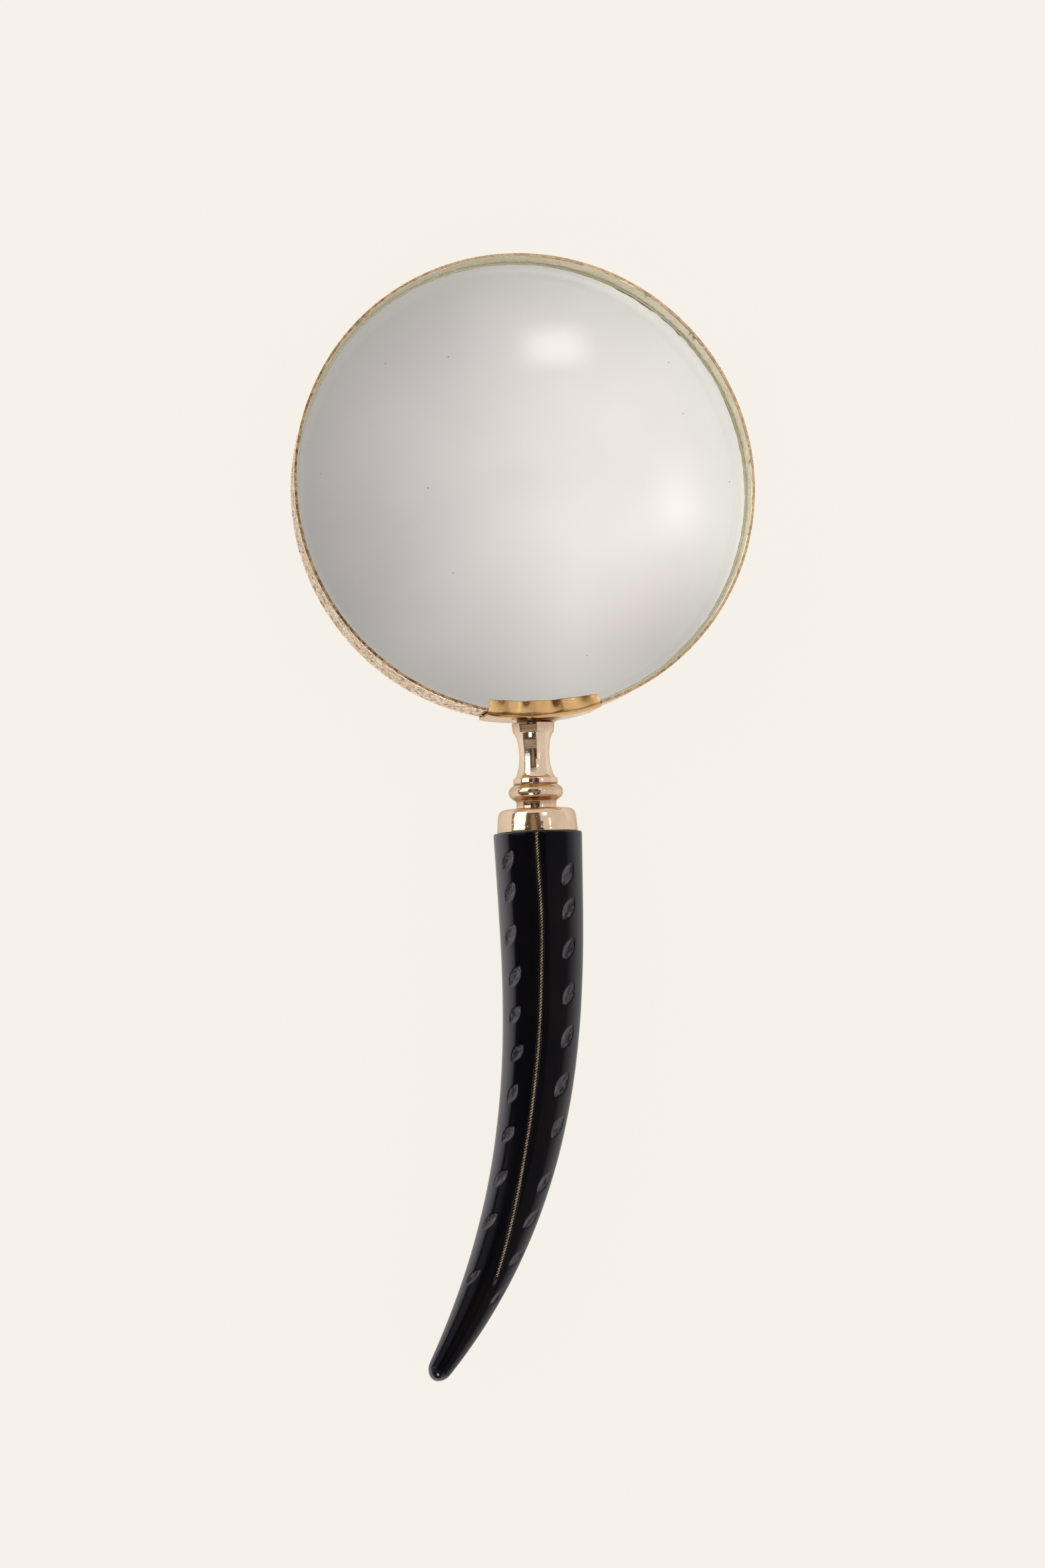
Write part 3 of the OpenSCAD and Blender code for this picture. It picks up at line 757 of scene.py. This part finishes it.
black_horn, tree, shader = finish("black_horn", ior=1.5, specular_tint=(0.80, 0.79, 1.0, 1))
facing = add(tree, "ShaderNodeLayerWeight", {"Blend": 0.5}).outputs["Facing"]
wear_and_shade = mark(tree, "worn_and_shaded_side")
waxed, rubbed = ramp(tree, facing, 0.20, 0.34, 0.07, 0.60), ramp(tree, facing, 0.32, 0.46, 0.05, 0.22)
shine = add(tree, "ShaderNodeMix", {0: wear_and_shade, 2: waxed, 3: rubbed}, data_type="FLOAT").outputs[0]
shine = calc(tree, "MULTIPLY", shine, ramp(tree, facing, 0.4, 0.85, 1.0, 0.1))
shine = calc(tree, "MAXIMUM", shine, mark(tree, "tip"))
tree.links.new(shine, shader.inputs["Specular IOR Level"])
cut = ramp(tree, mark(tree, "ground"), 0.25, 0.75)
place = object_place(tree)
fibre_place = add(tree, "ShaderNodeMapping", {"Vector": place, "Scale": (1, 0.06, 1)}).outputs[0]
fibres = texture(tree, 260, vector=fibre_place, detail=5.0, roughness=0.6).outputs[0]
clouds = texture(tree, 26, detail=3.0).outputs[0]
horn_color = blend_colors(tree, ramp(tree, clouds, 0.4, 0.7), (0.0035, 0.0035, 0.0055), (0.010, 0.007, 0.006))
horn_color = blend_colors(tree, ramp(tree, fibres, 0.6, 0.8, 0.0, 0.5), horn_color, (0.016, 0.012, 0.011))
# Painted sheen and painted shade: where the surface turns away from the view, the colour becomes a violet
# grey in place of a reflection. It is paler on the left flank and darker on the shaded right one.
painted_edge_sheen = blend_colors(tree, wear_and_shade, (0.062, 0.055, 0.072), (0.030, 0.026, 0.037))
horn_color = blend_colors(tree, ramp(tree, facing, 0.22, 0.55), horn_color, painted_edge_sheen)
scratch_place = add(tree, "ShaderNodeMapping", {
    "Vector": place, "Rotation": (0, 0, np.radians(-36)), "Scale": (1, 14, 1),
}, vector_type="TEXTURE").outputs[0]
scratches = texture(tree, 2200, vector=scratch_place, detail=2.0).outputs[0]
ground_color = blend_colors(
    tree, ramp(tree, scratches, 0.35, 0.65), (0.026, 0.025, 0.031), (0.105, 0.101, 0.117))
tree.links.new(blend_colors(tree, cut, horn_color, ground_color), shader.inputs["Base Color"])
wiped = ramp(tree, texture(tree, 60, detail=5.0, roughness=0.7).outputs[0], 0.4, 0.7, 0.08, 0.16)
rough = add(tree, "ShaderNodeMix", {0: cut, 2: wiped, 3: 0.5}, data_type="FLOAT").outputs[0]
tree.links.new(rough, shader.inputs["Roughness"])
bump(tree, shader, calc(tree, "MULTIPLY", scratches, cut), 0.12, 0.8)
bump(tree, shader, ramp(tree, fibres, 0.62, 0.72), 0.01, 0.3)
horn.data.materials.append(black_horn)
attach(horn, "handle")
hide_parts("horn_grip")

# The wire
# ========
# Two strands of fine brass wire twisted together and pressed into the groove with a little glue.
# A little of them stands proud of the horn.
wire_s = np.linspace(0.15, wire_end, 260)
wire_sunk = 0.20
wire_path = on_horn(wire_s, wire_angle(wire_s), horn_radius(wire_s) - wire_sunk)
spline_data = bpy.data.curves.new("wire_path", "CURVE")
spline_data.dimensions = "3D"
spline = spline_data.splines.new("POLY")
spline.points.add(len(wire_path) - 1)
spline.points.foreach_set("co", np.c_[wire_path * MM + middle, np.ones(len(wire_path))].ravel())
wire_base = bpy.data.objects.new("wire_base", spline_data)
bpy.context.scene.collection.objects.link(wire_base)

wire_tree = geometry_tree("twisted_wire")
strand_id = tree_input(wire_tree, "Strand radius", 0.0002)
spread_id = tree_input(wire_tree, "Strand offset", 0.0002)
lay_id = tree_input(wire_tree, "Length of a turn", 0.0016)
given = add(wire_tree, "NodeGroupInput")
path = add(wire_tree, "GeometryNodeResampleCurve", {"Curve": given.outputs["Geometry"], "Count": 1100})
here = add(wire_tree, "GeometryNodeSplineParameter").outputs["Length"]
laps = calc(wire_tree, "DIVIDE", here, given.outputs["Length of a turn"])
tilt = calc(wire_tree, "MULTIPLY", laps, 2 * np.pi)
twisted = add(wire_tree, "GeometryNodeSetCurveTilt", {"Curve": path.outputs[0], "Tilt": tilt})
strand = add(wire_tree, "GeometryNodeCurvePrimitiveCircle", {
    "Resolution": 7, "Radius": given.outputs["Strand radius"]})
pair = add(wire_tree, "GeometryNodeJoinGeometry")
for sign in (1, -1):
    shift = calc(wire_tree, "MULTIPLY", given.outputs["Strand offset"], sign)
    step = add(wire_tree, "ShaderNodeCombineXYZ", {"X": shift})
    moved = add(wire_tree, "GeometryNodeTransform", {
        "Geometry": strand.outputs[0], "Translation": step.outputs[0]})
    wire_tree.links.new(moved.outputs[0], pair.inputs[0])
swept = add(wire_tree, "GeometryNodeCurveToMesh", {
    "Curve": twisted.outputs[0], "Profile Curve": pair.outputs[0], "Fill Caps": True})
wire_brass, tree, shader = finish("wire_brass", metallic=1.0)
drawn = texture(tree, 700, detail=4.0).outputs[0]
wire_color = blend_colors(tree, ramp(tree, drawn, 0.3, 0.7), (0.30, 0.245, 0.19), (0.53, 0.45, 0.365))
tree.links.new(wire_color, shader.inputs["Base Color"])
tree.links.new(ramp(tree, drawn, 0.3, 0.7, 0.25, 0.45), shader.inputs["Roughness"])
close_tree(wire_tree, swept.outputs[0], wire_brass)
wire = grown("inlay_wire_strands", wire_base, wire_tree, {
    strand_id: 0.18 * MM, spread_id: 0.17 * MM, lay_id: 1.3 * MM})
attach(wire, "handle")
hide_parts("inlay_wire")

# The floor, the light and the camera
# ===================================
# A pale cream floor that glows evenly, with a soft shade painted on it under the glass, and the
# camera over the lower left. The sky is soft light with a dark top, a window on the left, a lamp
# beyond the tip and two small windows that show in the lens.
floor_z = cad_bounds[0][2]
floor_mesh = bpy.data.meshes.new("floor")
half_floor = 30.0
corners = [(half_floor * x, half_floor * y, floor_z) for x, y in ((-1, -1), (1, -1), (1, 1), (-1, 1))]
floor_mesh.from_pydata(corners, [], [(0, 1, 2, 3)])
floor = bpy.data.objects.new("floor", floor_mesh)
bpy.context.scene.collection.objects.link(floor)
paper = bpy.data.materials.new("cream_paper")
paper.use_nodes = True
tree = paper.node_tree
tree.nodes.clear()
from_lens = add(tree, "ShaderNodeVectorMath", {
    0: object_place(tree), 1: (float(middle[0]), float(middle[1]), 0)}, operation="SUBTRACT").outputs[0]
flat = add(tree, "ShaderNodeVectorMath", {0: from_lens, 1: (1, 1, 0)}, operation="MULTIPLY").outputs[0]


def distance_from(x, y):
    """Distance on the floor from a point given from under the lens centre, in metres."""
    return add(tree, "ShaderNodeVectorMath", {0: flat, 1: (x, y, 0)}, operation="DISTANCE").outputs["Value"]


# Painted shade: under the glass the floor is coloured a violet grey. It is lightest near a point right of the
# lens centre and darker round a point at its lower right, with a soft mottle and a faint green tint near the
# rim.
away, to_painted_bright_spot, to_painted_dim_spot = distance_from(0, 0), distance_from(0.030, 0.003), distance_from(0.037, -0.036)
CREAM = (0.915, 0.880, 0.810)
painted_shade_under_glass = blend_colors(
    tree, ramp(tree, to_painted_bright_spot, 0.005, 0.092), (0.93, 0.885, 0.835), (0.378, 0.350, 0.352))
painted_mottle = texture(tree, 24, vector=from_lens, detail=2.0).outputs[0]
painted_shade_under_glass = blend_colors(tree, 1.0, painted_shade_under_glass, blend_colors(
    tree, ramp(tree, painted_mottle, 0.3, 0.7), (0.945, 0.945, 0.95), (1.03, 1.03, 1.03)), "MULTIPLY")
painted_shade_under_glass = blend_colors(tree, ramp(tree, to_painted_dim_spot, 0.004, 0.032, 1.0, 0.0), painted_shade_under_glass, blend_colors(
    tree, 1.0, painted_shade_under_glass, (0.82, 0.80, 0.82), "MULTIPLY"))
painted_rim_tint = ramp(tree, away, 0.036, 0.050)
painted_shade_under_glass = blend_colors(tree, painted_rim_tint, painted_shade_under_glass, blend_colors(
    tree, 1.0, painted_shade_under_glass, (0.96, 1.0, 0.95), "MULTIPLY"))
shade = ramp(tree, away, 0.0499, 0.0509, 1.0, 0.0)
floor_color = blend_colors(tree, shade, CREAM, painted_shade_under_glass)
glow = add(tree, "ShaderNodeEmission", {"Color": floor_color, "Strength": 1.03})
matte = add(tree, "ShaderNodeBsdfDiffuse", {"Color": floor_color})
mixed = add(tree, "ShaderNodeMixShader", {0: 0.06, 1: glow.outputs[0], 2: matte.outputs[0]})
add(tree, "ShaderNodeOutputMaterial", {"Surface": mixed.outputs[0]})
floor_mesh.materials.append(paper)

sky = bpy.data.worlds.new("studio")
bpy.context.scene.world = sky
sky.use_nodes = True
tree = sky.node_tree
tree.nodes.clear()
way = add(tree, "ShaderNodeTexCoord").outputs["Generated"]
x, y, z = add(tree, "ShaderNodeSeparateXYZ", {0: way}).outputs
turn = calc(tree, "ARCTAN2", x, z)


def panel(turn_from, turn_to, low, high, soft_turn, soft_height):
    """1 inside a soft-edged panel of the sky, between two angles round the handle's axis, in
    degrees from straight up towards the right, and two heights of a direction along that axis."""
    share = 1.0
    for place, start, end, soft in ((turn, *np.radians([turn_from, turn_to, soft_turn]).tolist()),
                                    (y, low, high, soft_height)):
        for edge, inside in ((start, 1.0), (end, 0.0)):
            side = ramp(tree, place, edge - soft, edge + soft, 1 - inside, inside)
            share = calc(tree, "MULTIPLY", share, side)
    return share


SKY, DARK = (0.80, 0.76, 0.70), (0.055, 0.046, 0.036)
color = blend_colors(tree, ramp(tree, z, 0.02, 0.16), CREAM, SKY)  # paler towards the horizon
for place, tone in (
    ((-84, 12, -1.3, 0.06, 3, 0.04), (0.11, 0.088, 0.065)),  # the dark room beyond the handle's tip
    ((-80, 8, -0.34, -0.09, 4, 0.05), (0.40, 0.33, 0.25)),  # a paler strip in it
    ((-43, 10, -0.1, 0.215, 2, 0.025), DARK),  # the dark top
    ((-43, 2, 0.15, 0.56, 2.5, 0.04), (0.13, 0.105, 0.08)),  # its end towards the lens
    ((-26, -12, -0.05, 0.45, 4, 0.06), (0.34, 0.26, 0.16)),  # a warm patch in it
    ((-94, -82, -1.3, 1.3, 1.5, 0.1), (0.22, 0.17, 0.13)),  # the window's frame
    ((-82, -43, 0.08, 0.75, 1.5, 0.025), (2.0, 1.98, 1.92)),  # the window
    ((-42, -25, -0.83, -0.58, 3, 0.04), (7.0, 6.9, 6.5)),  # the lamp
    ((10.3, 17.7, 0.421, 0.487, 2.6, 0.024), (5.2, 5.1, 4.9)),  # the upper small window
    ((25.2, 29.8, 0.065, 0.185, 2.2, 0.06), (3.0, 2.95, 2.85)),  # the right one
):
    color = blend_colors(tree, panel(*place), color, tone)
light = add(tree, "ShaderNodeBackground", {"Color": color, "Strength": 1.0})
add(tree, "ShaderNodeOutputWorld", {"Surface": light.outputs[0]})

camera_data = bpy.data.cameras.new("camera")
camera_data.sensor_fit = "VERTICAL"
camera_data.sensor_height = 36.0
camera_data.lens = 55.28
camera_data.clip_start, camera_data.clip_end = 0.01, 100.0
camera = bpy.data.objects.new("camera", camera_data)
bpy.context.scene.collection.objects.link(camera)
right, up, back = (0.98904, -0.04256, 0.14138), (0.03416, 0.99753, 0.06131), (-0.14364, -0.05581, 0.98806)
from_middle = Vector((-0.0800, -0.0963, 0.5301))
turned_to = Matrix((right, up, back)).transposed().to_4x4()
camera.matrix_world = Matrix.Translation(Vector(middle.tolist()) + from_middle) @ turned_to
bpy.context.scene.camera = camera
bpy.context.scene.view_settings.view_transform = "Standard"
